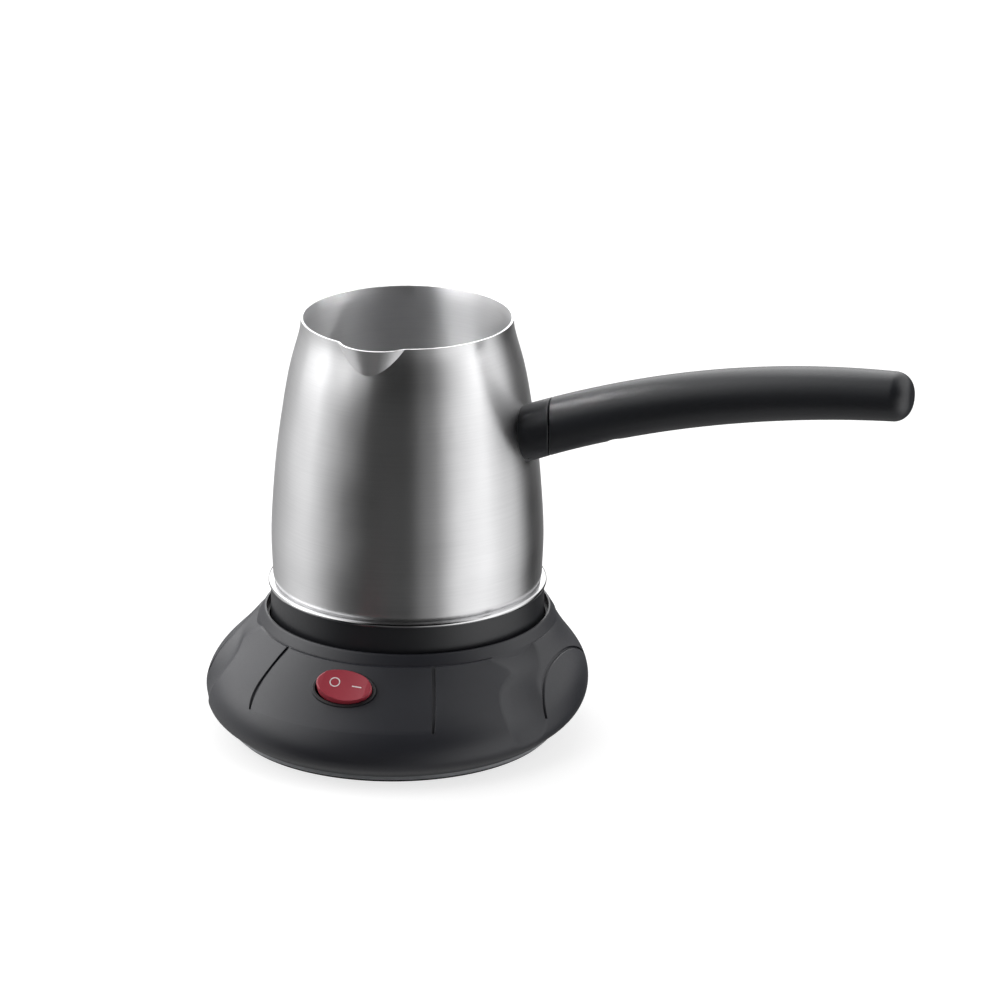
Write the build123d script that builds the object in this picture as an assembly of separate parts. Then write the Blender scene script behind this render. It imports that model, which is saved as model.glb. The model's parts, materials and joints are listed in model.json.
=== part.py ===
"""Electric Turkish coffee maker: a steel pot with a side handle on a round, corded power base.

Millimetres. +Z is up and the origin is on the pot's axis, at the surface that the base stands on.
The switch and the spout face -Y, and the handle points along +X.
"""
from build123d import *
import math
import os

# ---- driving dimensions: pot ------------------------------------------------------------------
STEEL = 0.8  # wall of the deep-drawn pot
POT_FLOOR_Z = 48.6  # underside of the pot's steel floor
POT_CORNER_R = 43.6  # where the flat floor turns up into the wall
POT_WALL = [(47.15, 52.2), (47.5, 62), (46.9, 80), (45.4, 97), (43.0, 114), (39.9, 130), (37.2, 140)]
RIM_R = 36.8
RIM_Z = 144.4
SPOUT_TOP_R = 14.6  # the pressed spout is an oblique cone
SPOUT_TOP_Y = -26.7
SPOUT_LOW_R = 8.4
SPOUT_LOW_Y = -30.0
SPOUT_LOW_Z = 134.0
BEAD_R = 48.7
SKIRT_R = 47.9
SKIRT_TOP_Z = 47.8
SEAT_Z = 30.9  # the pot stands on the well floor at this height

# ---- driving dimensions: handle ---------------------------------------------------------------
HANDLE_ARC_R = 380.0  # radius of the handle's centre line, in the XZ plane
HANDLE_ARC_X = 189.3
HANDLE_ARC_Z = -243.7
HANDLE_ROOT_X = 38.0
HANDLE_END_X = 180.6
HANDLE_STATIONS = [(HANDLE_ROOT_X, 19.6, 15.6), (60, 19.3, 16.2), (100, 19.2, 17.4), (140, 18.4, 17.8),
                   (HANDLE_END_X, 16.6, 17.0)]  # x, height, width
HANDLE_TIP_ROUND = 6.2
SEAM_X = 53.0
SEAM_ROUND = 0.4
SEAM_ARC_R = 18.0
SEAM_GAP = 0.25
HANDLE_RISE = 18.6  # slope of the tongue and of the handle screw's plane, in degrees
PAD = (10, 9, 12)  # room that the bracket's pad takes against the wall
PAD_PLACE = (42, 0, 106)

# ---- driving dimensions: base -----------------------------------------------------------------
BASE_LEAN = 14.0  # how far the foot of the body stands in front of the pot's axis
LEAN_FROM_Z = 6.0
LEAN_TO_Z = 38.5
BODY_RINGS = [(2.6, 58.2), (7, 63.6), (12, 66.6), (17, 66.6), (22, 64.4), (27, 60.0), (32, 55.3),
              (35.4, 52.4)]  # z, radius
BASE_WALL = 3.5
LIP_FOOT_R = 52.2
LIP_TOP_R = 50.5
LIP_TOP_Z = 38.9
WELL_MOUTH_R = 49.5
WELL_R = 48.5
WELL_STEP_Z = 35.6
WELL_FLOOR = 2.5
PANEL_HALF_ANGLE = 31.0
PANEL_MIDDLE_Z = 27.0
PANEL_RINGS = [(16, 68.4), (22, 63.85), (27, 59.7), (32, 55.2), (35.4, 52.3)]  # z, radius
PANEL_BOWS = {-1: 2.6, 1: 0.3}  # how far the left and the right groove bow away from the switch
PANEL_GROOVE = [(18.7, 1.0, -0.45), (27.8, 1.2, 0.55), (36.9, 1.5, -0.45)]  # z, width, share of the bow
PANEL_GROOVE_DEPTH = 1.1
GROOVE = 0.8  # width and depth of the oval grooves on the flanks
CREASE_ROUND = 6.0
SCOOP_ROUND = 4.0
SCOOP_R = 40.0  # radius of the roller that would press the hollow in front of each lobe
SCOOP_RINGS = [(8, 66, -1.2), (14, 64, 1.0), (19, 62.7, 1.4), (23.5, 61.8, 1.5), (27.5, 64, 1.5),
               (32, 69, 1.5), (36, 77, 1.6)]  # z, turn from the front, depth
LOBE_Y = -5.0
LOBE_Z = 15.5
LOBE_A = 27.0
LOBE_B = 14.0

# ---- driving dimensions: underside ------------------------------------------------------------
SHELL_FOOT_Z = 2.6
TRIM_R = 57.6
TRIM_BOTTOM_Z = 0.9
PLATE_R = 51.9
FOOT_RING_R = 56.2
SCREW_X = 32.0
SCREW_Y = 28.0

# ---- driving dimensions: switch ---------------------------------------------------------------
SWITCH_Y = -61.3
SWITCH_Z = 29.0
PANEL_SLOPE = 52.3  # the panel's normal stands this many degrees above the horizon
ROCKER_LENGTH = 19.6
ROCKER_WIDTH = 11.8
ROCKER_TOP = 3.6
ROCKER_PIVOT = -2.5
ROCKER_TILT = 7.5
FRAME_LENGTH = 22.2
FRAME_WIDTH = 13.8
FRAME_WALL = 0.7
FRAME_DEPTH = 12.0
FLANGE_RIM = 0.5
FLANGE_TOP = 0.8
LEVER_PIVOT = -8.4
LEVER_TILT = 6.0
BLADE = 0.8  # thickness of every push-on blade
BLADE_WIDTH = 4.8
LIVE_X = -6.4

# ---- driving dimensions: the round connector ----------------------------------------------------
HUB_R = 13.0
HUB_TOP_Z = 38.0
HUB_BOTTOM_Z = 24.9
EARTH_BORE_R = 3.3
SLOTS = [(6.1, 8.5), (9.6, 11.6)]
RINGS = [(6.8, 7.8), (10.2, 11.0)]
LEAVES = [(8.45, 60), (11.55, 180)]  # outer radius of each sprung leaf, and the turn it stands at
EARTH_STEM_R = 1.2
EARTH_PIN_R = 2.6
CUP_R = 15.5
CUP_BORE_R = 13.5
RING_TOP_Z = 39.8

SWITCH_PLANE = Plane(
    origin=(0, SWITCH_Y, SWITCH_Z),
    x_dir=(1, 0, 0),
    z_dir=(0, -math.cos(math.radians(PANEL_SLOPE)), math.sin(math.radians(PANEL_SLOPE))),
)
FLOOR_BOTTOM_Z = SEAT_Z - WELL_FLOOR
FAR = 120.0  # reach of a cutter that only has to pass the surface


def disc(radius, low, high, x=0.0, y=0.0):
    """An upright cylinder between two heights."""
    return Pos(x, y, (low + high) / 2) * Cylinder(radius, high - low)


def tube(outer, inner, low, high, x=0.0, y=0.0):
    """An upright tube between two heights."""
    return disc(outer, low, high, x, y) - disc(inner, low - 1, high + 1, x, y)


def oval(length, width, low, high):
    """An elliptical prism along Z."""
    return Pos(0, 0, low) * extrude(Ellipse(length / 2, width / 2), high - low)


def revolved(points):
    """A solid of revolution about Z from a closed outline of (radius, height) points."""
    return revolve(Plane.XZ * make_face(Polyline(*points, close=True)), Axis.Z)


def around(radius, turns):
    """Points on a circle about the pot's axis, one for each turn in degrees."""
    return [(radius * math.cos(math.radians(turn)), radius * math.sin(math.radians(turn))) for turn in turns]


# ---- base body ----------------------------------------------------------------------------------
def lean(z):
    """How far the body's centre stands in front of the pot's axis at a height."""
    return BASE_LEAN * min(1.0, (LEAN_TO_Z - z) / (LEAN_TO_Z - LEAN_FROM_Z))


def ring_at(z, radius):
    """The body's plan circle at a height."""
    return Pos(0, -lean(z), z) * Circle(radius)


def body_form(inset):
    """The base's outer form, drawn in by an inset."""
    return loft([ring_at(z, radius - inset) for z, radius in BODY_RINGS])


def body_radius(z):
    """The body's radius at a height, straight between its rings and on past the last one."""
    above = next((i for i, (ring_z, _) in enumerate(BODY_RINGS) if ring_z >= z), len(BODY_RINGS) - 1)
    (low, r_low), (high, r_high) = BODY_RINGS[above - 1], BODY_RINGS[above]
    return r_low + (r_high - r_low) * (z - low) / (high - low)


def panel_edge(side):
    """The upright plane square to one edge of the switch panel: its Z points outward and its Y up."""
    turn = math.radians(side * PANEL_HALF_ANGLE)
    return Plane(origin=(0, -lean(PANEL_MIDDLE_Z), 0), x_dir=(math.cos(turn), math.sin(turn), 0),
                 z_dir=(math.sin(turn), -math.cos(turn), 0))


def groove_line(side, widths):
    """A line up a panel groove, which follows the lean and bows, some of the groove's widths off its middle."""
    points = []
    for z, width, share in PANEL_GROOVE:
        away = (lean(PANEL_MIDDLE_Z) - lean(z)) * math.sin(math.radians(PANEL_HALF_ANGLE))
        points.append((side * (away + share * PANEL_BOWS[side]) + widths * width, z))
    return ThreePointArc(*points)


def panel_cutter():
    """Cuts the front between the two grooves back to a flatter form, which leaves a crease below it."""
    block = Pos(0, -FAR / 2, (PANEL_RINGS[0][0] + PANEL_RINGS[-1][0]) / 2) * Box(
        2 * FAR, FAR, PANEL_RINGS[-1][0] - PANEL_RINGS[0][0])
    for side in (-1, 1):
        line = groove_line(side, 0)
        foot, top = line @ 0, line @ 1
        inner = Polyline(top, (-side * FAR, top.Y), (-side * FAR, foot.Y), foot)
        block &= panel_edge(side) * extrude(make_face([line, *inner.edges()]), FAR)
    return block - loft([ring_at(z, radius) for z, radius in PANEL_RINGS])


def panel_grooves(core):
    """The two thin grooves beside the switch panel."""
    cuts = []
    for side in (-1, 1):
        left, right = groove_line(side, -0.5), groove_line(side, 0.5)
        slit = make_face([left, Line(left @ 1, right @ 1), right, Line(right @ 0, left @ 0)])
        cuts.append(panel_edge(side) * extrude(slit, FAR) - core)
    return cuts


def scoop(side):
    """A hollow beside the panel, as a roller that follows the slope would press it."""
    rings = []
    for z, turn, depth in SCOOP_RINGS:
        roller = Pos(body_radius(z) - depth + SCOOP_R, 0, 0) * Circle(SCOOP_R)
        rings.append(Pos(0, -lean(z), z) * Rot(0, 0, side * turn - 90) * roller)
    return loft(rings)


def long_edges(solid, low, high):
    """The edges over 50 mm long whose lowest point is between two heights."""
    return [edge for edge in solid.edges() if edge.length > 50 and low < edge.bounding_box().min.Z < high]


def lobe_groove(core, side):
    """The upper half of the oval groove that sets off the lobe on each flank."""
    ring = Ellipse(LOBE_A, LOBE_B) - Ellipse(LOBE_A - GROOVE, LOBE_B - GROOVE)
    upper = ring & Pos(0, LOBE_B / 2 + 0.5, 0) * Rectangle(3 * LOBE_A, LOBE_B)
    plane = Plane(origin=(side * 30, LOBE_Y, LOBE_Z), x_dir=(0, side, 0), z_dir=(side, 0, 0))
    return extrude(plane * upper, 50) - core


def base_shell():
    """The moulded cover of the power base, with the well that the pot stands in."""
    body = body_form(0) - panel_cutter()
    body = fillet(long_edges(body, 18, 21), CREASE_ROUND)
    for side in (-1, 1):
        body -= scoop(side)
    body = fillet(long_edges(body, 8, 12), SCOOP_ROUND)
    for cut in panel_grooves(body_form(PANEL_GROOVE_DEPTH)):
        body -= cut
    for side in (-1, 1):
        body -= lobe_groove(body_form(GROOVE), side)
    lip = revolved([(45, 33), (LIP_FOOT_R + 0.8, 33), (LIP_FOOT_R, WELL_STEP_Z), (LIP_TOP_R, LIP_TOP_Z - 0.5),
                    (LIP_TOP_R - 0.4, LIP_TOP_Z), (45, LIP_TOP_Z)])
    body += lip
    cavity = body_form(BASE_WALL) & Pos(0, 0, FLOOR_BOTTOM_Z - 50) * Box(200, 200, 100)
    body -= cavity
    body -= disc(WELL_MOUTH_R, WELL_STEP_Z, 60)
    body -= disc(WELL_R, SEAT_Z, 60)
    body -= disc(HUB_R + 0.1, 20, 60)
    for x, y in screw_places():
        post = disc(3.6, 4.8, FLOOR_BOTTOM_Z + 0.5, x, y)
        body += post
        body -= disc(1.25, 4, 16, x, y)
    body -= SWITCH_PLANE * oval(FRAME_LENGTH + 0.1, FRAME_WIDTH + 0.1, -30, 10)
    body -= SWITCH_PLANE * oval(FRAME_LENGTH + 2 * FLANGE_RIM, FRAME_WIDTH + 2 * FLANGE_RIM, -0.8, 10)
    body -= bush_place() * Pos(0, 0, -6) * Cylinder(5.0, 30)
    return body


def screw_places():
    """Where the four cover screws stand, about the middle of the foot."""
    return [(x, y - BASE_LEAN) for x in (-SCREW_X, SCREW_X) for y in (-SCREW_Y, SCREW_Y)]


def bush_place():
    """The cord inlet's place at the back: its Z points straight out, and its origin is on the wall."""
    z = 12.0
    return Plane(origin=(0, body_radius(z) - lean(z), z), x_dir=(1, 0, 0), z_dir=(0, 1, 0))


def cord_bush():
    """The flanged bush that lines the cord hole."""
    barrel = Pos(0, 0, -2.6) * Cylinder(4.95, 7.2)
    flange = Pos(0, 0, 0.5) * Cylinder(6.4, 1.8)
    bush = barrel + flange
    bush -= Cylinder(3.3, 40)
    bush = bush_place() * bush
    return bush - (body_form(0) - body_form(BASE_WALL) - bush_place() * Cylinder(5.0, 60))


# ---- underside ------------------------------------------------------------------------------------
def bottom_plate():
    """The stepped plate that closes the base, with vents and counterbored screw holes."""
    plate = disc(PLATE_R, 1.2, SHELL_FOOT_Z) + disc(54.4, SHELL_FOOT_Z, 4.8)
    for row in range(-2, 3):
        plate -= Pos(row * 7, 0, 3) * extrude(SlotOverall(22, 2.4, rotation=90), 10, both=True)
    plate = Pos(0, -BASE_LEAN, 0) * plate
    for x, y in screw_places():
        plate -= disc(1.6, 0, 10, x, y)
        plate -= disc(3.2, 0, 3.0, x, y)
    return plate


def trim_ring():
    """The light grey ring round the foot, with a rebate for the rubber ring."""
    ring = revolved([(PLATE_R + 0.1, TRIM_BOTTOM_Z), (TRIM_R - 0.5, TRIM_BOTTOM_Z),
                     (TRIM_R, TRIM_BOTTOM_Z + 0.5), (TRIM_R, SHELL_FOOT_Z), (PLATE_R + 0.1, SHELL_FOOT_Z)])
    return Pos(0, -BASE_LEAN, 0) * (ring - tube(FOOT_RING_R, 52.8, 0, 1.4))


def foot_ring():
    """The non-slip rubber ring that the appliance stands on."""
    return tube(FOOT_RING_R - 0.05, 52.85, 0, 1.4, 0, -BASE_LEAN)


def pan_screw(head_r, shank_r, head_low, head_high, tip):
    """A screw driven upward: its head below, its point above, and a cross recess under the head."""
    screw = disc(head_r, head_low, head_high) + disc(shank_r, head_high, tip)
    for turn in (0, 90):
        screw -= Rot(0, 0, turn) * Pos(0, 0, head_low) * Box(head_r * 1.2, 0.7, 1.4)
    return screw


def bottom_screws():
    """Four identical screws that hold the plate to the cover."""
    screw = pan_screw(2.8, 1.15, 1.3, 3.0, 14.0)
    return Compound([Pos(x, y, 0) * screw for x, y in screw_places()])


# ---- switch -----------------------------------------------------------------------------------------
def switch_frame():
    """The switch's moulded frame: an oval flange outside, and a closed oval tub inside."""
    flange = oval(FRAME_LENGTH + 2 * FLANGE_RIM - 0.1, FRAME_WIDTH + 2 * FLANGE_RIM - 0.1, -0.8, FLANGE_TOP)
    flange = chamfer(flange.edges().group_by(Axis.Z)[-1], 0.3)
    tub = oval(FRAME_LENGTH, FRAME_WIDTH, -FRAME_DEPTH - 1.2, 0)
    frame = flange + tub
    frame -= oval(FRAME_LENGTH - 2 * FRAME_WALL, FRAME_WIDTH - 2 * FRAME_WALL, -FRAME_DEPTH, 5)
    frame -= Pos(0, 0, ROCKER_PIVOT) * Rot(90, 0, 0) * Cylinder(1.25, 40)
    for x in (0, LIVE_X):
        frame -= Pos(x, 0, -FRAME_DEPTH) * Box(BLADE + 0.1, BLADE_WIDTH + 0.1, 6)
    return SWITCH_PLANE * frame


def tilted(solid):
    """Places a piece that is drawn about the rocker's pivot, tipped to its on side."""
    return SWITCH_PLANE * Pos(0, 0, ROCKER_PIVOT) * Rot(0, ROCKER_TILT, 0) * solid


def rocker():
    """The red oval rocker, dished on top, with two lugs, trunnions and a sleeve for the plunger."""
    top = ROCKER_TOP - ROCKER_PIVOT
    cap = oval(ROCKER_LENGTH, ROCKER_WIDTH, 1.7, top)
    cap -= Pos(0, 0, top + 58.9) * Rot(90, 0, 0) * Cylinder(59.4, 40)
    cap = fillet(cap.edges().group_by(Axis.Z)[-1], 0.6)
    for side in (-1, 1):
        cap += Pos(0, side * 4.8, 0.6) * Box(5, 1.4, 4.4)
        cap += Pos(0, side * 5.8, 0) * Rot(90, 0, 0) * Cylinder(1.2, 2.0)
    cap += tube(2.6, 1.8, -1.8, 2.0)
    return tilted(cap)


def plunger():
    """The brass plunger that the rocker drags across the contact lever."""
    pin = disc(0.9, -4.1, 1.2) + disc(1.6, -2.4, -1.6)
    return tilted(pin + Pos(0, 0, -4.1) * Sphere(0.9))


def rocker_spring():
    """The small coil spring above the plunger's collar."""
    path = Helix(pitch=0.8, height=2.8, radius=1.3, center=(0, 0, -1.3))
    wire = Plane(origin=path @ 0, z_dir=path % 0) * Circle(0.16)
    return tilted(sweep(wire, path, is_frenet=True))


def contact_lever():
    """The see-saw contact bar, tipped onto the live contact."""
    bar = Box(13.4, 4.0, 0.7) + Pos(-6.0, 0, -0.5) * Cylinder(1.3, 0.6)
    return SWITCH_PLANE * Pos(0, 0, LEVER_PIVOT) * Rot(0, -LEVER_TILT, 0) * bar


def switch_terminals():
    """The common blade with its knife edge, and the live blade with its contact."""
    common = Pos(0, 0, -15.3) * Box(BLADE, BLADE_WIDTH, 11.4)
    knife_z = LEVER_PIVOT - 0.5
    knife = Polyline((-1.2, -9.6), (1.2, -9.6), (0.15, knife_z), (-0.15, knife_z), close=True)
    common += Plane.XZ * extrude(make_face(knife), 1.9, both=True)
    live = Pos(LIVE_X, 0, -15.9) * Box(BLADE, BLADE_WIDTH, 10.2) + Pos(-6.0, 0, -10.9) * Cylinder(1.3, 0.8)
    return Compound([SWITCH_PLANE * common, SWITCH_PLANE * live])


# ---- connector in the base -----------------------------------------------------------------------
def base_connector():
    """The round post of the connector, with an earth bore, two ring slots and passages for its contacts."""
    hub = disc(HUB_R, HUB_BOTTOM_Z, HUB_TOP_Z) + disc(20.0, HUB_BOTTOM_Z, FLOOR_BOTTOM_Z)
    hub = chamfer(hub.edges().group_by(Axis.Z)[-1], 1.0)
    hub -= disc(EARTH_BORE_R, 28, 60)
    for inner, outer in SLOTS:
        hub -= tube(outer, inner, 29, 60)
    for x, y in connector_screw_places():
        hub -= disc(1.6, 20, 30, x, y)
    hub -= disc(EARTH_STEM_R, 20, 29)
    for outer, turn in LEAVES:
        hub -= Rot(0, 0, turn) * Pos(outer - 0.4, 0, 24) * Box(BLADE, BLADE_WIDTH, 10.4)
    return hub


def connector_screw_places():
    """Three screws at equal turns round the connector's flange."""
    return around(16.6, (30, 150, 270))


def connector_screws():
    """Three short screws that hold the connector up against the well floor."""
    screw = pan_screw(2.4, 1.2, HUB_BOTTOM_Z - 1.6, HUB_BOTTOM_Z, FLOOR_BOTTOM_Z)
    return Compound([Pos(x, y, 0) * screw for x, y in connector_screw_places()])


def base_contacts():
    """The earth sleeve and the two sprung ring contacts, each with a blade below the post."""
    sleeve = tube(3.25, 2.95, 28.0, 36.0) + disc(3.2, 28.0, 28.8) + disc(EARTH_STEM_R, 17.5, 28.4)
    leaves = [sleeve]
    for outer, turn in LEAVES:
        sector = Rot(0, 0, turn) * Pos(outer / 2 + 3, 0, 32.5) * Box(outer, 6, 20)
        leaf = tube(outer, outer - 0.3, 29.0, 36.5) & sector
        blade = Rot(0, 0, turn) * Pos(outer - 0.4, 0, 23.4) * Box(BLADE, BLADE_WIDTH, 11.6)
        leaves.append(leaf + blade)
    return Compound(leaves)


def switch_lead():
    """The insulated lead from the switch to the connector."""
    start = SWITCH_PLANE.from_local_coords(Vector(0, 0, -22.0))
    points = [start, Vector(0, start.Y + 6, 8.2), Vector(-4, -30, 7.6), Vector(-7.5, -14, 7.6),
              Vector(-11.15, 0, 8.4), Vector(-11.15, 0, 17.5)]
    route = FilletPolyline(*points, radius=4.0)
    return sweep(Plane(origin=route @ 0, z_dir=route % 0) * Circle(1.1), route)


# ---- pot --------------------------------------------------------------------------------------------
def pot_form(inset):
    """The pot's form of revolution with its spout, drawn in by an inset."""
    wall = [(radius - inset, z) for radius, z in POT_WALL + [(RIM_R, RIM_Z)]]
    floor_z = POT_FLOOR_Z + inset
    side = Spline(*wall, tangents=[(0, 1), (0, 1)])
    corner = Spline((POT_CORNER_R - inset, floor_z), wall[0], tangents=[(1, 0), (0, 1)])
    outline = [Line((0, floor_z), (POT_CORNER_R - inset, floor_z)), corner, side,
               Line(wall[-1], (0, RIM_Z)), Line((0, RIM_Z), (0, floor_z))]
    form = revolve(Plane.XZ * make_face(outline), Axis.Z)
    top = Pos(0, SPOUT_TOP_Y, RIM_Z) * Circle(SPOUT_TOP_R - inset)
    low = Pos(0, SPOUT_LOW_Y, SPOUT_LOW_Z) * Circle(SPOUT_LOW_R - inset)
    return form + loft([low, top], ruled=True)


def pot_body():
    """The seamless steel pot with its pressed spout."""
    return pot_form(0) - pot_form(STEEL)


def bead_ring():
    """The polished rolled bead between the pot and its skirt."""
    bead = revolved([(46.0, SKIRT_TOP_Z), (BEAD_R - 0.6, SKIRT_TOP_Z), (BEAD_R - 0.15, 48.0), (BEAD_R, 48.4),
                     (BEAD_R, 48.8), (BEAD_R - 0.2, 49.2), (BEAD_R - 0.7, 49.45), (46.8, 49.6), (46.0, 49.6)])
    return bead - pot_form(0)


def pot_skirt():
    """The black cup under the pot that covers the heater and stands in the well."""
    skirt = disc(SKIRT_R, SEAT_Z, SKIRT_TOP_Z) - disc(SKIRT_R - 2.0, SEAT_Z + 2.1, 60)
    skirt = chamfer(skirt.edges().group_by(Axis.Z)[0], 1.0)
    skirt -= disc(CUP_R + 0.2, 20, 60)
    for x, y in skirt_screw_places():
        skirt -= disc(1.6, 20, 60, x, y)
        skirt -= disc(3.0, 20, SEAT_Z + 1.2, x, y)
    return skirt


def skirt_seal():
    """The silicone ring that keeps spills out of the heater space."""
    return tube(SKIRT_R - 2.05, 41.6, 46.2, POT_FLOOR_Z) - pot_form(0)


def skirt_screw_places():
    """Three screws at equal turns, outside the element."""
    return around(36, (90, 210, 330))


def heater_plate():
    """The aluminium plate under the floor that spreads the heat, with three tapped pillars."""
    plate = disc(40.5, 46.1, POT_FLOOR_Z)
    for x, y in skirt_screw_places():
        plate += disc(3.4, 38.0, 46.3, x, y)
        plate -= disc(1.3, 37.0, 45.0, x, y)
    return plate


def skirt_screws():
    """Three screws that draw the skirt up against the pot."""
    screw = pan_screw(2.7, 1.25, SEAT_Z + 0.2, SEAT_Z + 1.2, 44.0)
    return Compound([Pos(x, y, 0) * screw for x, y in skirt_screw_places()])


def heating_element():
    """The sheathed element, bent into a horseshoe and turned down at its cold ends."""
    ring_r = 26.0
    tube_r = 3.4
    z = 46.1 - tube_r
    half_gap = math.radians(24)
    ends = [(ring_r * math.sin(half_gap) * s, -ring_r * math.cos(half_gap), z) for s in (1, -1)]
    arc = ThreePointArc(ends[0], (0, ring_r, z), ends[1])
    element = sweep(Plane(origin=arc @ 0, z_dir=arc % 0) * Circle(tube_r), arc)
    for x, y, _ in ends:
        element += disc(tube_r, 38.0, z, x, y) + Pos(x, y, z) * Sphere(tube_r) + disc(1.3, 36.6, 38.4, x, y)
    return element


def thermostat():
    """The bimetal cut-out clamped to the middle of the plate."""
    can = disc(8.0, 42.2, 46.1) + disc(6.6, 41.2, 42.4)
    for side in (-1, 1):
        can += Pos(side * 4, 5.2, 42.4) * Box(0.8, 5.6, 2.0)
    return can


def thermal_fuse():
    """The one-shot fuse beside the cut-out, with its two wires."""
    fuse = Pos(13.4, 0, 44.1) * Rot(90, 0, 0) * Cylinder(2.0, 11)
    return fuse + Pos(13.4, 0, 44.1) * Rot(90, 0, 0) * Cylinder(0.5, 20)


def element_leads():
    """Two insulated leads from the element's cold ends to the connector cup."""
    end_x = 26.0 * math.sin(math.radians(24))
    end_y = -26.0 * math.cos(math.radians(24))
    leads = []
    for side in (-1, 1):
        points = [(side * end_x, end_y, 36.55), (side * end_x, end_y, 34.2), (side * 8.2, -18.5, 34.2)]
        route = FilletPolyline(*points, radius=1.2)
        leads.append(sweep(Plane(origin=route @ 0, z_dir=route % 0) * Circle(1.0), route))
    return Compound(leads)


def pot_connector():
    """The connector's cup in the skirt, which drops over the post."""
    cup = disc(CUP_R, SEAT_Z + 0.4, 40.6) + disc(20.0, SEAT_Z + 2.1, 35.2)
    cup = cup - disc(CUP_BORE_R, 20, 38.6)
    for inner, outer in RINGS:
        cup -= tube(outer, inner, 38, RING_TOP_Z)
    return cup - disc(EARTH_PIN_R, 20, 60)


def pot_contacts():
    """The earth pin and the two contact rings that hang in the cup."""
    pin = disc(EARTH_PIN_R, 33.0, 41.0) + Pos(0, 0, 33.0) * Cone(1.4, EARTH_PIN_R, 1.6, align=(
        Align.CENTER, Align.CENTER, Align.MAX))
    return Compound([pin] + [tube(outer, inner, 32.4, RING_TOP_Z) for inner, outer in RINGS])


# ---- handle -----------------------------------------------------------------------------------------
def handle_station(x, height, width):
    """An oval section square to the handle's centre line."""
    angle = math.asin((HANDLE_ARC_X - x) / HANDLE_ARC_R)
    z = HANDLE_ARC_Z + HANDLE_ARC_R * math.cos(angle)
    plane = Plane(origin=(x, 0, z), x_dir=(0, 1, 0), z_dir=(math.cos(angle), 0, math.sin(angle)))
    return plane * Ellipse(width / 2, height / 2)


def handle_form():
    """The whole handle from inside the pot's wall to its rounded tip."""
    form = loft([handle_station(*station) for station in HANDLE_STATIONS])
    return fillet(form.edges().group_by(Axis.X)[-1], HANDLE_TIP_ROUND)


def beyond_seam(gap):
    """Everything on the grip's side of the seam, which bows toward the pot."""
    seam = Pos(SEAM_X + SEAM_ARC_R + gap, 0, 110) * Cylinder(SEAM_ARC_R, 100)
    return seam + Pos(SEAM_X + SEAM_ARC_R + gap + 100, 0, 110) * Box(200, 100, 100)


def tongue(clearance):
    """The bracket's straight tongue, which runs along the first part of the handle."""
    blade = Pos(20, 0, 0) * Box(46 + clearance, 9 + 2 * clearance, 2.5 + 2 * clearance)
    return Pos(46, 0, 108.6) * Rot(0, -HANDLE_RISE, 0) * blade


def screw_axis():
    """The handle screw's place: its Z points up through the tongue."""
    return Pos(74, 0, 117.8) * Rot(0, -HANDLE_RISE, 0)


def handle_bracket():
    """The steel bracket welded to the wall: a curved pad and a tongue with a tapped hole."""
    pad = pot_form(-1.5) & Pos(*PAD_PLACE) * Box(*PAD)
    return pad + tongue(0) - pot_form(0) - screw_axis() * Cylinder(1.6, 20)


def handle_collar():
    """The short collar between the pot and the grip."""
    room = tongue(0.15) + (pot_form(-1.7) & Pos(*PAD_PLACE) * Box(*(length + 0.4 for length in PAD)))
    collar = handle_form() - beyond_seam(-SEAM_GAP)
    collar = fillet(collar.edges().sort_by(Axis.X)[-1], SEAM_ROUND)
    return collar - pot_form(0) - room


def handle_grip():
    """The long curved grip with its socket for the tongue and its screw hole underneath."""
    grip = handle_form() & beyond_seam(0)
    grip = fillet(grip.edges().sort_by(Axis.X)[0], SEAM_ROUND)
    grip -= tongue(0.15)
    grip -= screw_axis() * Pos(0, 0, -10) * Cylinder(1.9, 22)
    grip -= screw_axis() * Pos(0, 0, -11) * Cylinder(3.6, 11)
    return grip


def handle_screw():
    """The screw that goes up through the grip into the tongue."""
    screw = pan_screw(3.2, 1.55, -7.6, -5.5, 1.2)
    return screw_axis() * screw


PARTS = {
    "base_shell": base_shell,
    "bottom_plate": bottom_plate,
    "trim_ring": trim_ring,
    "foot_ring": foot_ring,
    "bottom_screws": bottom_screws,
    "cord_bush": cord_bush,
    "switch_frame": switch_frame,
    "switch_terminals": switch_terminals,
    "rocker": rocker,
    "plunger": plunger,
    "rocker_spring": rocker_spring,
    "contact_lever": contact_lever,
    "switch_lead": switch_lead,
    "base_connector": base_connector,
    "base_contacts": base_contacts,
    "connector_screws": connector_screws,
    "pot_body": pot_body,
    "bead_ring": bead_ring,
    "pot_skirt": pot_skirt,
    "skirt_seal": skirt_seal,
    "skirt_screws": skirt_screws,
    "heater_plate": heater_plate,
    "heating_element": heating_element,
    "thermostat": thermostat,
    "thermal_fuse": thermal_fuse,
    "element_leads": element_leads,
    "pot_connector": pot_connector,
    "pot_contacts": pot_contacts,
    "handle_bracket": handle_bracket,
    "handle_collar": handle_collar,
    "handle_grip": handle_grip,
    "handle_screw": handle_screw,
}

os.makedirs("parts", exist_ok=True)
for name, make in PARTS.items():
    export_step(make(), f"parts/{name}.step")
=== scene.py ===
"""Electric Turkish coffee maker: finishes, printed switch marks, light and camera around the CAD frame.

Every length that belongs to the object is written in millimetres and turned to metres by MM. The frame
is shared with the CAD model: +Z is up, -Y is the switch side and +X runs along the handle.
"""
import json
import logging
import math
from dataclasses import dataclass, field
from enum import Enum

import bmesh
import bpy
from mathutils import Matrix, Vector


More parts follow.
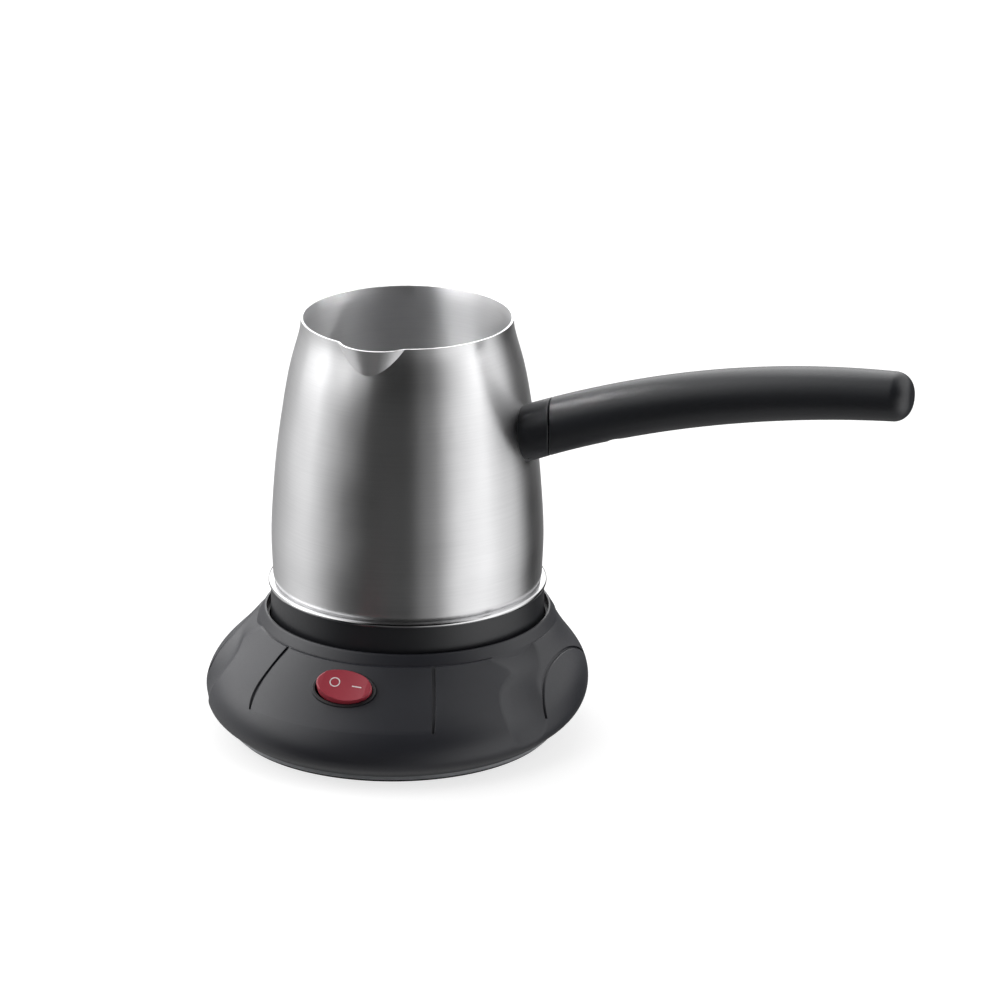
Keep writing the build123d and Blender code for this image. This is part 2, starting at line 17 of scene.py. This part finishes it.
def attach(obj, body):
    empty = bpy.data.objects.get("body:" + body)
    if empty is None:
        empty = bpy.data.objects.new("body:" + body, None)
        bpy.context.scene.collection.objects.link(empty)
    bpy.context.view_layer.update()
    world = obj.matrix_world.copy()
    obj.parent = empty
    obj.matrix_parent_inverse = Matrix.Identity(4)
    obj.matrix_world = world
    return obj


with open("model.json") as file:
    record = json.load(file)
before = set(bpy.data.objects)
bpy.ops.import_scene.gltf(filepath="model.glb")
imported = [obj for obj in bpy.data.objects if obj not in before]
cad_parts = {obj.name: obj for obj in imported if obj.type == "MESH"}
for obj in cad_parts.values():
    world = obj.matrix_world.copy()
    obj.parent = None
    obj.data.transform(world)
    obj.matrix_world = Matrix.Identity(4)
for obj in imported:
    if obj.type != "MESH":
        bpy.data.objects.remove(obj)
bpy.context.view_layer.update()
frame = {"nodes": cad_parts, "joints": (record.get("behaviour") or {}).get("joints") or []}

MM = 0.001
NOISE_LOW, NOISE_HIGH = 0.3, 0.7  # nearly all of a noise texture's values lie between them
LOG = logging.getLogger("coffee_maker")


class Switching(Enum):
    """The two sides of the rocker, by the sign of their place along it."""

    OFF = -1
    ON = 1


def linear(hex_colour: str) -> tuple[float, float, float, float]:
    """Turns an sRGB hex colour to linear.

    Args:
        hex_colour: Six hex digits after a hash.

    Returns:
        Red, green, blue and an alpha of 1.
    """
    channels = [int(hex_colour[i:i + 2], 16) / 255 for i in (1, 3, 5)]
    bent = [c / 12.92 if c <= 0.04045 else ((c + 0.055) / 1.055) ** 2.4 for c in channels]
    return (*bent, 1.0)


def grey(level: float) -> tuple[float, float, float, float]:
    """Gives a neutral linear colour of one level."""
    return (level, level, level, 1.0)


def add_node(tree: bpy.types.NodeTree, kind: str, inputs: dict | None = None, **settings) -> bpy.types.Node:
    """Adds one node with its settings, values and links.

    Args:
        tree: The node tree that it goes into.
        kind: The node's type name.
        inputs: For each input, by name or number, a value or the output socket that feeds it.
        settings: The node's own properties.

    Returns:
        The new node.
    """
    node = tree.nodes.new(kind)
    for name, value in settings.items():
        setattr(node, name, value)
    for key, value in (inputs or {}).items():
        if isinstance(value, bpy.types.NodeSocket):
            tree.links.new(value, node.inputs[key])
        else:
            node.inputs[key].default_value = value
    return node


def new_material(name: str) -> tuple[bpy.types.Material, bpy.types.NodeTree]:
    """Makes an empty node material.

    Args:
        name: The material's name.

    Returns:
        The material and its cleared node tree.
    """
    material = bpy.data.materials.new(name)
    material.use_nodes = True
    material.node_tree.nodes.clear()
    return material, material.node_tree


def dress(node: str, material: bpy.types.Material) -> None:
    """Gives a CAD node its finish.

    Args:
        node: The CAD node's name.
        material: The finish.
    """
    obj = frame["nodes"][node]
    if not obj.material_slots:
        obj.data.materials.append(material)
    for slot in obj.material_slots:
        slot.material = material
    LOG.info("dressed %s in %s", node, material.name)


def solid(name: str, mesh: bmesh.types.BMesh, material: bpy.types.Material, body: str) -> bpy.types.Object:
    """Turns a finished bmesh into a piece that rides on a body.

    Args:
        name: The piece's name.
        mesh: Its mesh, which is freed.
        material: Its finish.
        body: The body that it rides on.

    Returns:
        The new object.
    """
    bmesh.ops.recalc_face_normals(mesh, faces=mesh.faces)
    data = bpy.data.meshes.new(name)
    mesh.to_mesh(data)
    mesh.free()
    data.materials.append(material)
    obj = bpy.data.objects.new(name, data)
    bpy.context.scene.collection.objects.link(obj)
    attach(obj, body)
    LOG.info("built %s with %d faces", name, len(data.polygons))
    return obj


# ---- finishes -----------------------------------------------------------------------------------
@dataclass(frozen=True)
class MouldedPlastic:
    """An injection-moulded plastic whose mould was spark-eroded or polished."""

    name: str
    colour: str
    roughness: float
    grain_mm: float  # spacing of the mould's grain
    grain_depth_mm: float
    mottle: float = 0.12  # how far the colour strays in slow clouds
    cloud_mm: float = 30.0
    edge_mm: float = 0.25  # the small radius that a mould leaves on every edge
    ior: float = 1.53
    patchiness: float = 0.04  # how far the roughness strays from grain to grain

    def material(self) -> bpy.types.Material:
        """Builds the plastic, whose grain breaks the highlight into a soft satin.

        Returns:
            The material.
        """
        material, tree = new_material(self.name)
        place = add_node(tree, "ShaderNodeTexCoord").outputs["Object"]
        cloud = add_node(tree, "ShaderNodeTexNoise", {"Vector": place, "Scale": 1 / (self.cloud_mm * MM),
                                                      "Detail": 3.0})
        grain = add_node(tree, "ShaderNodeTexNoise", {"Vector": place, "Scale": 1 / (self.grain_mm * MM),
                                                      "Detail": 2.0, "Roughness": 0.6})
        shade = add_node(tree, "ShaderNodeMapRange", {0: cloud.outputs["Fac"], 1: NOISE_LOW, 2: NOISE_HIGH,
                                                      3: 1 - self.mottle, 4: 1 + self.mottle})
        colour = add_node(tree, "ShaderNodeVectorMath", {0: linear(self.colour)[:3],
                                                         "Scale": shade.outputs["Result"]},
                          operation="SCALE")
        rough = add_node(tree, "ShaderNodeMapRange", {0: grain.outputs["Fac"], 1: NOISE_LOW, 2: NOISE_HIGH,
                                                      3: self.roughness - self.patchiness,
                                                      4: self.roughness + self.patchiness})
        edge = add_node(tree, "ShaderNodeBevel", {"Radius": self.edge_mm * MM}, samples=4)
        bump = add_node(tree, "ShaderNodeBump", {"Height": grain.outputs["Fac"], "Strength": 1.0,
                                                 "Distance": self.grain_depth_mm * MM,
                                                 "Normal": edge.outputs["Normal"]})
        skin = add_node(tree, "ShaderNodeBsdfPrincipled", {
            "Base Color": colour.outputs["Vector"], "Roughness": rough.outputs["Result"],
            "IOR": self.ior, "Normal": bump.outputs["Normal"]})
        add_node(tree, "ShaderNodeOutputMaterial", {"Surface": skin.outputs["BSDF"]})
        return material


@dataclass(frozen=True)
class DrawnSteel:
    """Stainless sheet, deep drawn and polished by turning against a belt."""

    name: str
    colour: str
    roughness: float
    anisotropy: float
    line_mm: float  # spacing of the belt's fine lines, drawn coarse enough to show
    line_depth_mm: float
    run_mm: float = 26.0  # how long a line runs round the wall
    streak: float = 0.03  # how far a line's colour strays
    smudge_mm: float = 18.0
    smudge: float = 0.05  # how far the roughness strays from smudge to smudge
    inner_roughness: float | None = None  # of a wall that faces its own axis, where the belt is coarser

    def material(self) -> bpy.types.Material:
        """Builds the steel, whose lines round the wall draw every highlight out up and down.

        Returns:
            The material.
        """
        material, tree = new_material(self.name)
        place = add_node(tree, "ShaderNodeTexCoord").outputs["Object"]
        run, line = 1 / (self.run_mm * MM), 1 / (self.line_mm * MM)
        along = add_node(tree, "ShaderNodeMapping", {"Vector": place, "Scale": (run, run, line)})
        lines = add_node(tree, "ShaderNodeTexNoise", {"Vector": along.outputs["Vector"], "Scale": 1.0,
                                                      "Detail": 3.0, "Roughness": 0.7})
        smudges = add_node(tree, "ShaderNodeTexNoise", {"Vector": place, "Scale": 1 / (self.smudge_mm * MM),
                                                        "Detail": 4.0})
        rough = add_node(tree, "ShaderNodeMapRange", {0: smudges.outputs["Fac"], 1: NOISE_LOW, 2: NOISE_HIGH,
                                                      3: self.roughness - self.smudge / 2,
                                                      4: self.roughness + self.smudge / 2})
        roughness = rough.outputs["Result"]
        if self.inner_roughness is not None:
            roughness = self.add_inner_wall(tree, place, roughness)
        shade = add_node(tree, "ShaderNodeMapRange", {0: lines.outputs["Fac"], 1: NOISE_LOW, 2: NOISE_HIGH,
                                                      3: 1 - self.streak, 4: 1 + self.streak})
        colour = add_node(tree, "ShaderNodeVectorMath", {0: linear(self.colour)[:3],
                                                         "Scale": shade.outputs["Result"]},
                          operation="SCALE")
        bump = add_node(tree, "ShaderNodeBump", {"Height": lines.outputs["Fac"], "Strength": 1.0,
                                                 "Distance": self.line_depth_mm * MM})
        round_wall = add_node(tree, "ShaderNodeTangent", direction_type="RADIAL", axis="Z")
        skin = add_node(tree, "ShaderNodeBsdfPrincipled", {
            "Base Color": colour.outputs["Vector"], "Metallic": 1.0, "Roughness": roughness,
            "Anisotropic": self.anisotropy, "Anisotropic Rotation": 0.25,
            "Tangent": round_wall.outputs["Tangent"], "Normal": bump.outputs["Normal"]})
        add_node(tree, "ShaderNodeOutputMaterial", {"Surface": skin.outputs["BSDF"]})
        return material

    def add_inner_wall(self, tree: bpy.types.NodeTree, place: bpy.types.NodeSocket,
                       outer: bpy.types.NodeSocket) -> bpy.types.NodeSocket:
        """Gives the wall that faces its own axis a roughness of its own.

        Args:
            tree: The material's node tree.
            place: The place on the object.
            outer: The roughness of every other face.

        Returns:
            The roughness of all faces.
        """
        facing = add_node(tree, "ShaderNodeTexCoord").outputs["Normal"]
        flat = add_node(tree, "ShaderNodeVectorMath", {0: place, 1: (1, 1, 0)}, operation="MULTIPLY")
        outward = add_node(tree, "ShaderNodeVectorMath", {0: flat.outputs["Vector"], 1: facing},
                           operation="DOT_PRODUCT")
        inside = add_node(tree, "ShaderNodeMath", {0: outward.outputs["Value"], 1: 0.0},
                          operation="LESS_THAN")
        both = add_node(tree, "ShaderNodeMix", {0: inside.outputs[0], 2: outer, 3: self.inner_roughness},
                        data_type="FLOAT")
        return both.outputs[0]


@dataclass(frozen=True)
class PlainMetal:
    """A turned, stamped or cast metal piece."""

    name: str
    colour: str
    tarnish: str
    roughness: float
    grain_mm: float
    grain_depth_mm: float
    patch_mm: float = 6.0
    dulling: float = 0.12  # how much rougher a patch is

    def material(self) -> bpy.types.Material:
        """Builds the metal, which dulls in patches where hands and heat have been.

        Returns:
            The material.
        """
        material, tree = new_material(self.name)
        place = add_node(tree, "ShaderNodeTexCoord").outputs["Object"]
        patch = add_node(tree, "ShaderNodeTexNoise", {"Vector": place, "Scale": 1 / (self.patch_mm * MM),
                                                      "Detail": 5.0})
        grain = add_node(tree, "ShaderNodeTexNoise", {"Vector": place, "Scale": 1 / (self.grain_mm * MM),
                                                      "Detail": 2.0})
        share = add_node(tree, "ShaderNodeMapRange", {0: patch.outputs["Fac"], 1: 0.45, 2: 0.75})
        colour = add_node(tree, "ShaderNodeMix", {0: share.outputs["Result"], 6: linear(self.colour),
                                                  7: linear(self.tarnish)}, data_type="RGBA")
        rough = add_node(tree, "ShaderNodeMapRange", {0: patch.outputs["Fac"], 1: NOISE_LOW, 2: NOISE_HIGH,
                                                      3: self.roughness, 4: self.roughness + self.dulling})
        bump = add_node(tree, "ShaderNodeBump", {"Height": grain.outputs["Fac"], "Strength": 1.0,
                                                 "Distance": self.grain_depth_mm * MM})
        skin = add_node(tree, "ShaderNodeBsdfPrincipled", {
            "Base Color": colour.outputs[2], "Metallic": 1.0, "Roughness": rough.outputs["Result"],
            "Normal": bump.outputs["Normal"]})
        add_node(tree, "ShaderNodeOutputMaterial", {"Surface": skin.outputs["BSDF"]})
        return material


# Belt-polished 18/10 stainless: a bright satin in which the room shows as soft upright bands. The belt's
# lines are under 0.1 mm apart, and are drawn coarser so that they show.
SATIN_STEEL = DrawnSteel("satin_stainless_steel", "#D9D9DA", 0.32, 0.93, 0.45, 0.002, inner_roughness=0.5)
# Rolled and buffed stainless: the bead's crisp, thin highlight.
BUFFED_STEEL = DrawnSteel("buffed_stainless_steel", "#DCDCDD", 0.09, 0.2, 0.4, 0.0008, smudge=0.02)
# ABS from a spark-eroded mould: an even charcoal satin that lightens at a glancing angle.
CHARCOAL_ABS = MouldedPlastic("charcoal_abs", "#2D2E34", 0.42, 0.55, 0.012)
# ABS from a fine-sanded mould: blacker and a little smoother.
BLACK_ABS = MouldedPlastic("black_abs", "#242427", 0.38, 0.4, 0.006)
# The skirt's glass-filled nylon: black, satin, with a faint bloom.
SKIRT_NYLON = MouldedPlastic("black_glass_filled_nylon", "#232428", 0.4, 0.5, 0.008)
# Phenolic, compression moulded: deep black with a waxy satin that carries one long highlight.
PHENOLIC = MouldedPlastic("black_phenolic", "#1F2126", 0.4, 0.6, 0.01, edge_mm=0.5, ior=1.6)
# Light grey ABS of the foot trim.
GREY_ABS = MouldedPlastic("grey_abs", "#A9ABAF", 0.45, 0.4, 0.006)
# Polycarbonate of the rocker, from a vapour-blasted mould: a clean, slightly milky red.
RED_POLYCARBONATE = MouldedPlastic("red_polycarbonate", "#B43C4B", 0.36, 1.2, 0.002, mottle=0.05,
                                   edge_mm=0.35, ior=1.585)
# Pad-printed ink: flat and chalky.
WHITE_INK = MouldedPlastic("white_pad_ink", "#FCF2F2", 0.55, 0.2, 0.002, mottle=0.03, edge_mm=0.05)
# Nitrile of the foot ring: dull, with a slight bloom.
NITRILE = MouldedPlastic("black_nitrile_rubber", "#161617", 0.75, 0.35, 0.015, ior=1.52)
# Silicone of the seal: soft and translucent-looking grey.
SILICONE = MouldedPlastic("grey_silicone_rubber", "#B9B4AC", 0.5, 0.8, 0.006, ior=1.41)
# Glass-fibre sleeve of the leads: pale and dull, with the braid's fine relief.
GLASS_SLEEVE = MouldedPlastic("glass_fibre_sleeve", "#D8D2C4", 0.7, 0.3, 0.03, mottle=0.2, cloud_mm=3)
# Steatite of the thermal fuse: an off-white, unglazed ceramic.
STEATITE = MouldedPlastic("steatite_ceramic", "#E3DCCB", 0.6, 0.3, 0.006, mottle=0.06)
# Zinc-plated screw steel: bluish, with dull patches.
ZINC_STEEL = PlainMetal("zinc_plated_steel", "#B9BDC2", "#8F9296", 0.32, 0.3, 0.003)
# Spring steel, drawn and unplated.
SPRING_STEEL = PlainMetal("drawn_spring_steel", "#A9A8A6", "#7F7C79", 0.3, 0.2, 0.002)
# Stamped contact brass, browned a little.
BRASS = PlainMetal("stamped_brass", "#D9B66B", "#A98345", 0.28, 0.3, 0.003)
# Cast aluminium with the sand of its mould.
CAST_ALUMINIUM = PlainMetal("cast_aluminium", "#B7B8BA", "#8D8E90", 0.5, 0.7, 0.03)
# The element's sheath, tinted straw by heat.
HEATED_SHEATH = PlainMetal("heat_tinted_sheath", "#8F877C", "#6A5A4B", 0.38, 0.4, 0.004)


# ---- sub-assemblies -------------------------------------------------------------------------------
@dataclass
class PowerBase:
    """The round base with its cover, foot, plate and the round connector."""

    cover: MouldedPlastic = CHARCOAL_ABS
    dark: MouldedPlastic = BLACK_ABS

    def dress(self) -> None:
        """Gives each of the base's pieces its finish."""
        dark, screws, brass = self.dark.material(), ZINC_STEEL.material(), BRASS.material()
        dress("base_shell", self.cover.material())
        dress("trim_ring", GREY_ABS.material())
        dress("foot_ring", NITRILE.material())
        dress("switch_lead", GLASS_SLEEVE.material())
        for node in ("bottom_plate", "cord_bush", "base_connector", "switch_frame"):
            dress(node, dark)
        for node in ("bottom_screws", "connector_screws"):
            dress(node, screws)
        for node in ("base_contacts", "switch_terminals", "contact_lever"):
            dress(node, brass)


@dataclass
class RockerSwitch:
    """The red rocker with its printed marks, its plunger and spring."""

    hinge_name: str = "rocker_tilt"
    crown_mm: float = 5.6  # height of the dished face's middle above the pivot
    dish_radius_mm: float = 59.4
    off_place_mm: tuple[float, float] = (-3.4, 0.5)  # middle of the ring, along and across the rocker
    on_place_mm: tuple[float, float] = (4.5, 0.25)  # middle of the bar
    ink_mm: float = 0.04  # how far the ink stands proud
    ring_radius_mm: float = 1.85
    stroke_mm: float = 0.4
    outline_steps: int = 64
    bar_mm: float = 3.5
    bar_core: float = 0.04  # the closed bar's inner outline, as a share of the outer one

    def face(self) -> Matrix:
        """Gives the rocker's own frame: X along it, Z out of its face, origin on its pivot.

        Returns:
            A matrix from millimetres on the rocker to metres in the frame.
        """
        hinge = next(joint for joint in frame["joints"] if joint["name"] == self.hinge_name)
        along, across = Vector((1, 0, 0)), Vector(hinge["axis"])
        turned = Matrix((along, across, along.cross(across))).transposed().to_4x4()
        off, on = hinge["range_deg"]  # it stands level halfway between them, and rests at on
        tilt = Matrix.Rotation(math.radians((on - off) / 2), 4, "Y")
        return Matrix.Translation(hinge["pos_m"]) @ turned @ tilt @ Matrix.Scale(MM, 4)

    def on_face(self, x: float, y: float, proud: float) -> Vector:
        """Lifts a point of the plan onto the dished face.

        Args:
            x: Along the rocker, in millimetres.
            y: Across it.
            proud: Height above the face.

        Returns:
            The point in the rocker's frame.
        """
        dish = self.dish_radius_mm - math.sqrt(self.dish_radius_mm ** 2 - x ** 2)
        return Vector((x, y, self.crown_mm + dish + proud))

    def ink_loop(self, mark: Switching, inner: bool) -> list[tuple[float, float]]:
        """Gives one outline of a mark in plan.

        Args:
            mark: Which mark.
            inner: Whether it is the inner outline.

        Returns:
            Points round the mark, the same number for both outlines.
        """
        turns = [2 * math.pi * i / self.outline_steps for i in range(self.outline_steps)]
        if mark is Switching.OFF:
            along, across = self.off_place_mm
            radius = self.ring_radius_mm - (self.stroke_mm if inner else 0)
            return [(radius * math.cos(t) + along, radius * math.sin(t) + across) for t in turns]
        along, across = self.on_place_mm
        reach = self.bar_core if inner else 1.0
        half, end = reach * (self.bar_mm - self.stroke_mm) / 2, reach * self.stroke_mm / 2
        return [(math.copysign(half, math.cos(t)) + end * math.cos(t) + along, end * math.sin(t) + across)
                for t in turns]

    def print_mark(self, mark: Switching, ink: bpy.types.Material) -> None:
        """Prints one mark as a thin closed film on the face.

        Args:
            mark: Which mark.
            ink: Its finish.
        """
        mesh = bmesh.new()
        loops = []
        for inner, proud in ((False, -self.ink_mm), (False, self.ink_mm), (True, self.ink_mm),
                             (True, -self.ink_mm)):
            loops.append([mesh.verts.new(self.on_face(x, y, proud)) for x, y in self.ink_loop(mark, inner)])
        for loop, following in zip(loops, loops[1:] + loops[:1]):
            for i in range(len(loop)):
                j = (i + 1) % len(loop)
                mesh.faces.new((loop[i], loop[j], following[j], following[i]))
        bmesh.ops.transform(mesh, matrix=self.face(), verts=mesh.verts)
        solid(f"mark_{mark.name.lower()}", mesh, ink, "rocker")

    def dress(self) -> None:
        """Gives the moving pieces their finishes and prints both marks."""
        dress("rocker", RED_POLYCARBONATE.material())
        dress("plunger", BRASS.material())
        dress("rocker_spring", SPRING_STEEL.material())
        ink = WHITE_INK.material()
        for mark in Switching:
            self.print_mark(mark, ink)


@dataclass
class Pot:
    """The steel pot with its bead, skirt and heater."""

    wall: DrawnSteel = SATIN_STEEL

    def dress(self) -> None:
        """Gives each of the pot's pieces its finish."""
        steel, brass, screws = self.wall.material(), BRASS.material(), ZINC_STEEL.material()
        dress("pot_body", steel)
        dress("handle_bracket", steel)
        dress("bead_ring", BUFFED_STEEL.material())
        dress("pot_skirt", SKIRT_NYLON.material())
        dress("pot_connector", BLACK_ABS.material())
        dress("skirt_seal", SILICONE.material())
        dress("heater_plate", CAST_ALUMINIUM.material())
        dress("heating_element", HEATED_SHEATH.material())
        dress("thermal_fuse", STEATITE.material())
        dress("element_leads", GLASS_SLEEVE.material())
        for node in ("thermostat", "pot_contacts"):
            dress(node, brass)
        for node in ("skirt_screws", "handle_screw"):
            dress(node, screws)


@dataclass
class Handle:
    """The long phenolic handle and its collar."""

    finish: MouldedPlastic = PHENOLIC

    def dress(self) -> None:
        """Gives the grip and the collar their finish."""
        phenolic = self.finish.material()
        for node in ("handle_grip", "handle_collar"):
            dress(node, phenolic)


# ---- studio ---------------------------------------------------------------------------------------
@dataclass(frozen=True)
class Card:
    """A soft upright reflector, which shades smoothly into the next one of its round."""

    turn: float  # degrees to the right of the camera's side
    level: float


@dataclass(frozen=True)
class Lamp:
    """A softbox that faces the object."""

    name: str
    turn: float  # degrees to the right of straight in front
    rise: float  # degrees above the floor
    distance: float  # metres from the point that it faces
    side: float
    watts: float
    aim_height: float = 0.07  # of the point on the object's axis that it faces, in metres
    spread: float = 180.0  # degrees that its grid lets the light spread


@dataclass
class Studio:
    """The pale floor, the two rounds of cards, the softboxes and the camera."""

    camera_place: Vector = field(default_factory=lambda: Vector((0.6316, -1.6622, 0.70865)))
    heading: float = 19.767  # degrees to the left of the object's depth
    pitch: float = 19.543
    roll: float = 0.28
    lens: float = 194.8
    camera_turn: float = 20.8  # degrees from straight in front to the camera's side
    floor_half: float = 6.0
    floor_gap: float = 0.0002  # keeps the floor from meeting the foot in one plane
    level_cards: tuple[Card, ...] = (
        Card(-180, 0.25),  # the dim room behind
        Card(-100, 0.75),  # a pale wall on the left
        Card(-55, 0.0),  # a black flag beside it
        Card(-15, 0.08), Card(0, 0.08),  # the dark side that the camera stands on
        Card(20, 0.35),  # the near frame of the window
        Card(48, 1.3), Card(70, 1.45),  # a wide window on the right
        Card(97, 0.9),  # its far frame
        Card(128, 0.0),  # a black flag beyond it
        Card(180, 0.25))
    high_cards: tuple[Card, ...] = (
        Card(-180, 2.8),  # a bank of lights high up behind
        Card(-105, 1.3),  # where it fades out on the left
        Card(-80, 1.8),  # the lit top of the left wall
        Card(-32, 0.0), Card(35, 0.0),  # nothing above the camera
        Card(80, 1.4), Card(110, 1.35),  # the top of the window
        Card(143, 0.9),  # where the bank begins on the right
        Card(180, 2.8))
    top_level: float = 0.15
    low_level: float = 0.35
    high_span: tuple[float, float] = (0.04, 0.3)  # rise over which the high cards take over, as a sine
    top_span: tuple[float, float] = (0.86, 0.97)
    low_span: tuple[float, float] = (-0.6, -0.9)
    floor_reflectance: float = 0.45
    floor_glow: float = 0.72  # fills the floor up to white for the camera
    lamps: tuple[Lamp, ...] = (
        Lamp("left_softbox", -85, 28, 1.3, 0.8, 3.6),
        Lamp("handle_softbox", 120, 73, 0.272, 0.08, 0.04),
        Lamp("mouth_left", -64, 50, 0.5, 0.07, 0.011, aim_height=0.165, spread=6.0),
        Lamp("mouth_front", -38, 50, 0.5, 0.07, 0.008, aim_height=0.168, spread=6.0),
        Lamp("mouth_right", 130, 50, 0.5, 0.06, 0.02, aim_height=0.165, spread=6.0))

    def add_camera(self) -> None:
        """Places the camera, a long lens that looks down on the object from its right."""
        turn, dip, roll = (math.radians(a) for a in (self.heading, self.pitch, self.roll))
        ahead = Vector((-math.sin(turn) * math.cos(dip), math.cos(turn) * math.cos(dip), -math.sin(dip)))
        level = Vector((math.cos(turn), math.sin(turn), 0))
        upright = level.cross(ahead)
        right = math.cos(roll) * level + math.sin(roll) * upright
        up = math.cos(roll) * upright - math.sin(roll) * level
        camera = bpy.data.objects.new("camera", bpy.data.cameras.new("camera"))
        camera.matrix_world = (Matrix.Translation(self.camera_place)
                               @ Matrix((right, up, -ahead)).transposed().to_4x4())
        camera.data.lens = self.lens
        camera.data.clip_end = 50
        bpy.context.scene.collection.objects.link(camera)
        bpy.context.scene.camera = camera

    def add_lamps(self) -> None:
        """Hangs the softboxes."""
        for lamp in self.lamps:
            turn, rise = math.radians(lamp.turn), math.radians(lamp.rise)
            out = Vector((math.sin(turn) * math.cos(rise), -math.cos(turn) * math.cos(rise),
                          math.sin(rise)))
            data = bpy.data.lights.new(lamp.name, "AREA")
            data.energy = lamp.watts
            data.size = lamp.side
            data.spread = math.radians(lamp.spread)
            obj = bpy.data.objects.new(lamp.name, data)
            obj.location = out * lamp.distance + Vector((0, 0, lamp.aim_height))
            obj.rotation_euler = out.to_track_quat("Z", "Y").to_euler()
            bpy.context.scene.collection.objects.link(obj)

    def add_world(self) -> None:
        """Wraps the set in white for the camera, and in the rounds of soft cards for all else."""
        world = bpy.data.worlds.new("studio")
        bpy.context.scene.world = world
        world.use_nodes = True
        tree = world.node_tree
        tree.nodes.clear()
        way = add_node(tree, "ShaderNodeTexCoord").outputs["Generated"]
        parts = add_node(tree, "ShaderNodeSeparateXYZ", {0: way})
        front = add_node(tree, "ShaderNodeMath", {0: parts.outputs["Y"], 1: -1.0}, operation="MULTIPLY")
        turn = add_node(tree, "ShaderNodeMath", {0: parts.outputs["X"], 1: front.outputs[0]},
                        operation="ARCTAN2")
        from_camera = add_node(tree, "ShaderNodeMath", {0: turn.outputs[0],
                                                        1: math.radians(self.camera_turn)},
                               operation="SUBTRACT")
        wrapped = add_node(tree, "ShaderNodeMath", {0: from_camera.outputs[0], 1: math.pi, 2: -math.pi},
                           operation="WRAP")
        share = add_node(tree, "ShaderNodeMapRange", {0: wrapped.outputs[0], 1: -math.pi, 2: math.pi})
        glow = self.add_ring(tree, share.outputs["Result"], self.level_cards)
        high = self.add_ring(tree, share.outputs["Result"], self.high_cards)
        for (start, end), layer in ((self.high_span, high), (self.top_span, grey(self.top_level)),
                                    (self.low_span, grey(self.low_level))):
            reach = add_node(tree, "ShaderNodeMapRange", {0: parts.outputs["Z"], 1: start, 2: end},
                             interpolation_type="SMOOTHSTEP")
            glow = add_node(tree, "ShaderNodeMix", {0: reach.outputs["Result"], 6: glow, 7: layer},
                            data_type="RGBA").outputs[2]
        rays = add_node(tree, "ShaderNodeLightPath")
        seen = add_node(tree, "ShaderNodeMath", {0: rays.outputs["Is Camera Ray"],
                                                 1: rays.outputs["Is Transmission Ray"]},
                        operation="MAXIMUM")
        colour = add_node(tree, "ShaderNodeMix", {0: seen.outputs[0], 6: glow, 7: grey(1.0)},
                          data_type="RGBA")
        sky = add_node(tree, "ShaderNodeBackground", {"Color": colour.outputs[2], "Strength": 1.0})
        add_node(tree, "ShaderNodeOutputWorld", {"Surface": sky.outputs[0]})

    def add_ring(self, tree: bpy.types.NodeTree, share: bpy.types.NodeSocket,
                 cards: tuple[Card, ...]) -> bpy.types.NodeSocket:
        """Sets a round of cards out along a colour ramp.

        Args:
            tree: The world's node tree.
            share: How far round the object a direction is, from 0 to 1.
            cards: The cards in order.

        Returns:
            The colour that the cards give.
        """
        ring = add_node(tree, "ShaderNodeValToRGB", {0: share})
        ramp = ring.color_ramp
        ramp.interpolation = "EASE"
        while len(ramp.elements) < len(cards):
            ramp.elements.new(0.5)
        for element, card in zip(ramp.elements, cards):
            element.position = (card.turn + 180) / 360
            element.color = grey(card.level)
        return ring.outputs["Color"]

    def add_floor(self) -> None:
        """Lays a white floor that keeps a soft shadow and lets mirrors see the cards."""
        mesh = bmesh.new()
        bmesh.ops.create_grid(mesh, x_segments=1, y_segments=1, size=self.floor_half)
        data = bpy.data.meshes.new("floor")
        mesh.to_mesh(data)
        mesh.free()
        material, tree = new_material("white_floor")
        rays = add_node(tree, "ShaderNodeLightPath")
        matt = add_node(tree, "ShaderNodeBsdfDiffuse", {"Color": grey(self.floor_reflectance)})
        glow = add_node(tree, "ShaderNodeEmission", {"Color": grey(1.0), "Strength": self.floor_glow})
        lit = add_node(tree, "ShaderNodeAddShader", {0: matt.outputs[0], 1: glow.outputs[0]})
        to_camera = add_node(tree, "ShaderNodeMixShader", {0: rays.outputs["Is Camera Ray"],
                                                           1: matt.outputs[0], 2: lit.outputs[0]})
        clear = add_node(tree, "ShaderNodeBsdfTransparent")
        to_mirror = add_node(tree, "ShaderNodeMixShader", {0: rays.outputs["Is Glossy Ray"],
                                                           1: to_camera.outputs[0], 2: clear.outputs[0]})
        add_node(tree, "ShaderNodeOutputMaterial", {"Surface": to_mirror.outputs[0]})
        data.materials.append(material)
        floor = bpy.data.objects.new("floor", data)
        floor.location.z = -self.floor_gap
        bpy.context.scene.collection.objects.link(floor)

    def build(self) -> None:
        """Sets up the whole studio."""
        bpy.context.scene.view_settings.view_transform = "Standard"
        self.add_camera()
        self.add_world()
        self.add_floor()
        self.add_lamps()


def main() -> None:
    """Builds the studio and dresses every sub-assembly in turn."""
    logging.basicConfig(level=logging.INFO, format="%(name)s: %(message)s")
    Studio().build()
    PowerBase().dress()
    RockerSwitch().dress()
    Pot().dress()
    Handle().dress()


if __name__ == "__main__":
    main()
